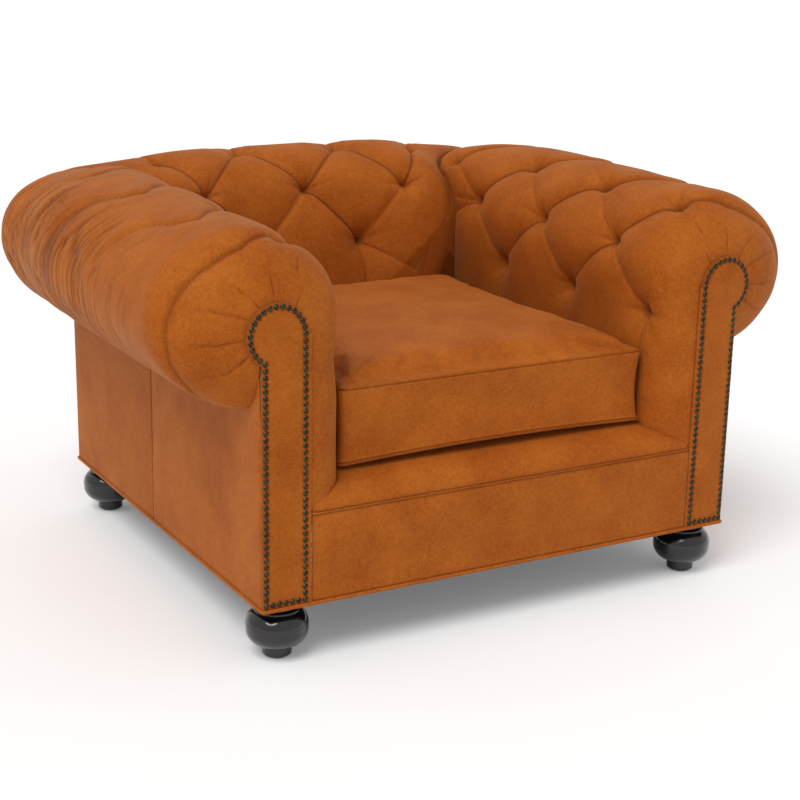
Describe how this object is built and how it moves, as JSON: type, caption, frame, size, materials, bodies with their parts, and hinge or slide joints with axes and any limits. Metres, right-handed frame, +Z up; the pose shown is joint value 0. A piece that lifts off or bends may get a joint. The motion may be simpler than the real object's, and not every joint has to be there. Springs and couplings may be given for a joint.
{
  "type": "chesterfield armchair",
  "caption": "Low-backed chesterfield armchair: rolled tufted arms and back at one height, loose boxed seat cushion, nailed arm facings, turned bun feet.",
  "frame": {"origin": "on the floor under the middle of the whole chair's box, rolls included", "axes": "+X across the seat towards the right arm as seen from the front, +Y from the front towards the back, +Z up"},
  "size_m": [1.321, 1.1175, 0.7912],
  "materials": {
    "leather": "matte cognac leather, fine mottled grain",
    "foam": "open cell foam with wadding, never seen",
    "jute": "woven jute",
    "deck_cloth": "plain woven deck cloth in the leather colour",
    "dust_cloth": "black non-woven cloth",
    "zip_cloth": "brown zip tape with moulded teeth",
    "frame_wood": "planed hardwood, unfinished",
    "plywood": "thin plywood",
    "foot_wood": "turned wood, gloss black lacquer",
    "nail_bronze": "dark antique bronze nail heads",
    "antique_brass": "antique brass",
    "steel": "plain steel",
    "glide_plastic": "black plastic glide"
  },
  "bodies": {
    "chair": {"arm_foam_left": "foam", "arm_foam_right": "foam", "arm_tack_rails": "frame_wood", "arm_top_rails": "frame_wood", "back_foam": "foam", "back_post_left": "frame_wood", "back_post_right": "frame_wood", "back_rail": "frame_wood", "back_tack_rail": "frame_wood", "back_top_rail": "frame_wood", "base_welt": "leather", "border_piping": "leather", "corner_blocks": "frame_wood", "deck_cover": "deck_cloth", "deck_foam": "foam", "dust_cover": "leather", "facing_board_left": "plywood", "facing_board_right": "plywood", "facing_cover_left": "leather", "facing_cover_right": "leather", "facing_nails_left": "nail_bronze", "facing_nails_right": "nail_bronze", "foot_back_left": "foot_wood", "foot_back_right": "foot_wood", "foot_bolts": "steel", "foot_front_left": "foot_wood", "foot_front_right": "foot_wood", "foot_glides": "glide_plastic", "foot_tee_nuts": "steel", "front_border_cover": "leather", "front_border_pad": "foam", "front_post_left": "frame_wood", "front_post_right": "frame_wood", "front_rail": "frame_wood", "inner_arm_cover_left": "leather", "inner_arm_cover_right": "leather", "inner_back_cover": "leather", "lip_cover": "leather", "lip_foam": "foam", "outer_arm_cover_front_left": "leather", "outer_arm_cover_front_right": "leather", "outer_arm_cover_rear_left": "leather", "outer_arm_cover_rear_right": "leather", "outer_back_cover": "leather", "seat_burlap": "jute", "seat_springs": "steel", "side_rail_left": "frame_wood", "side_rail_right": "frame_wood", "spring_clips": "steel", "spring_tie_wires": "steel", "tuft_ties": "jute", "webbing": "jute"},
    "seat_cushion": {"cushion_bottom": "leather", "cushion_boxing": "leather", "cushion_foam": "foam", "cushion_piping": "leather", "cushion_top": "leather", "zip_tape": "zip_cloth"},
    "zip_slider": {"zip_slider": "antique_brass"}
  },
  "joints": [
    {"name": "cushion_lift", "type": "slide", "parent": "chair", "child": "seat_cushion", "axis": [0, 0, 1], "range_m": [0, 0.5]},
    {"name": "zip_slide", "type": "slide", "parent": "seat_cushion", "child": "zip_slider", "axis": [1, 0, 0], "range_m": [0, 0.46]}
  ]
}
